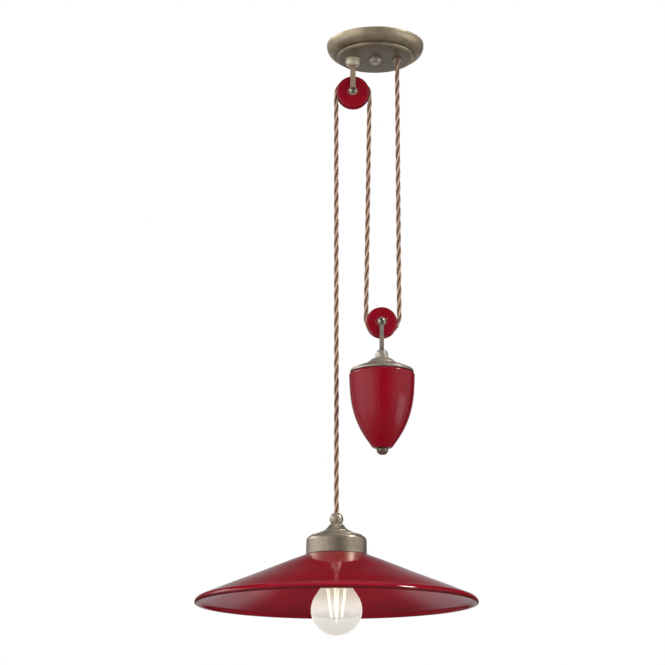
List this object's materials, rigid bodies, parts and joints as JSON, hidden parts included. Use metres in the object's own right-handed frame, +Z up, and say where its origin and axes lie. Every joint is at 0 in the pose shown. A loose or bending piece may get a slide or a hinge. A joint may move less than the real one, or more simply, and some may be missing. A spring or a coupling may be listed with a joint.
{
  "type": "rise and fall pendant lamp",
  "caption": "Height-adjustable pendant: shallow red ceramic shade and bulb on a twisted flex, two pulleys, hanging ceramic counterweight and a domed brass ceiling plate.",
  "frame": {"origin": "centre of the ceiling plate's mounting plane, on the ceiling", "axes": "+Z up towards the ceiling, the lamp hangs towards -Z; the flex runs in the XZ plane; pulley axles along Y; -Y is the front"},
  "size_m": [0.42, 0.42, 0.9324],
  "materials": {
    "red_glaze": "gloss",
    "aged_brass": "aged, satin",
    "bright_brass": "polished",
    "zinc_steel": "zinc plated",
    "nickel_cap": "nickel plated",
    "iron_slug": "as cast",
    "white_plastic": "matt",
    "porcelain": "unglazed",
    "black_insulator": "gloss",
    "seal_rubber": "matt",
    "felt": "matt",
    "braided_flex": "woven sleeve",
    "clear_glass": "clear",
    "filament": "coated"
  },
  "bodies": {
    "ceiling": {"ceiling_bracket": "zinc_steel", "fixing_stud": "zinc_steel", "earth_screw": "bright_brass", "ceiling_plate": "aged_brass", "plate_knob": "bright_brass", "terminal_block": "white_plastic", "terminal_screws": "zinc_steel", "cord_anchor": "white_plastic", "cord_outlet_bush": "aged_brass", "outlet_nut": "aged_brass", "upper_fork_ferrule": "bright_brass", "upper_fork": "aged_brass", "upper_fork_screw": "aged_brass", "upper_fork_nut": "aged_brass", "upper_axle": "aged_brass", "upper_axle_nut": "aged_brass", "upper_washers": "bright_brass", "flex_supply_tail": "braided_flex", "flex_ceiling_run": "braided_flex", "flex_middle_run": "braided_flex", "flex_upper_loop": "braided_flex", "flex_lamp_run": "braided_flex"},
    "upper_sheave": {"upper_pulley": "red_glaze", "upper_bush": "bright_brass"},
    "counterweight": {"lower_fork": "aged_brass", "lower_axle": "aged_brass", "lower_axle_nut": "aged_brass", "lower_washers": "bright_brass", "lower_fork_ferrule": "aged_brass", "weight_cap": "aged_brass", "weight_gasket": "seal_rubber", "weight_shell": "red_glaze", "weight_ballast": "iron_slug", "weight_rod": "zinc_steel", "weight_rod_nut": "zinc_steel", "weight_finial": "aged_brass", "flex_lower_loop": "braided_flex"},
    "lower_sheave": {"lower_pulley": "red_glaze", "lower_bush": "bright_brass"},
    "lamp": {"cord_grip": "aged_brass", "grip_screw": "zinc_steel", "fitter_cap": "aged_brass", "fitter_nipple": "aged_brass", "nipple_nut": "aged_brass", "lampholder_dome": "aged_brass", "lampholder_base": "porcelain", "lampholder_shell": "aged_brass", "lampholder_thread": "bright_brass", "lampholder_tongue": "bright_brass", "shade": "red_glaze", "shade_gasket": "felt", "shade_ring": "aged_brass", "flex_lamp_tail": "braided_flex"},
    "bulb_tip": {"bulb_contact": "bright_brass"},
    "bulb": {"bulb_glass": "clear_glass", "bulb_cap": "nickel_cap", "bulb_insulator": "black_insulator", "bulb_stem": "clear_glass", "bulb_filaments": "filament", "bulb_supports": "zinc_steel"}
  },
  "joints": [
    {"name": "lamp_travel", "type": "slide", "parent": "ceiling", "child": "lamp", "axis": [0, 0, 1], "range_m": [-0.48, 0.08], "deforming": ["flex_lamp_run"]},
    {"name": "weight_travel", "type": "slide", "parent": "ceiling", "child": "counterweight", "axis": [0, 0, 1], "range_m": [-0.04, 0.24], "deforming": ["flex_ceiling_run", "flex_middle_run"]},
    {"name": "upper_pulley_spin", "type": "hinge", "parent": "ceiling", "child": "upper_sheave", "pos_m": [-0.0357, 0, -0.0806], "axis": [0, 1, 0], "range_deg": [-1196, 200]},
    {"name": "lower_pulley_spin", "type": "hinge", "parent": "counterweight", "child": "lower_sheave", "pos_m": [0.0073, 0, -0.4562], "axis": [0, 1, 0], "range_deg": [-122, 728]},
    {"name": "bulb_travel", "type": "slide", "parent": "lamp", "child": "bulb_tip", "axis": [0, 0, 1], "range_m": [-0.02, 0]},
    {"name": "bulb_unscrew", "type": "hinge", "parent": "bulb_tip", "child": "bulb", "pos_m": [-0.062, 0, -0.83], "axis": [0, 0, 1], "range_deg": [-1980, 0]}
  ],
  "couplings": [
    {"joint": "weight_travel", "follows": "lamp_travel", "ratio": -0.5},
    {"joint": "upper_pulley_spin", "follows": "lamp_travel", "rad_per_m": 43.478},
    {"joint": "lower_pulley_spin", "follows": "lamp_travel", "rad_per_m": -26.455},
    {"joint": "bulb_travel", "follows": "bulb_unscrew", "m_per_rad": 0.00057757}
  ]
}
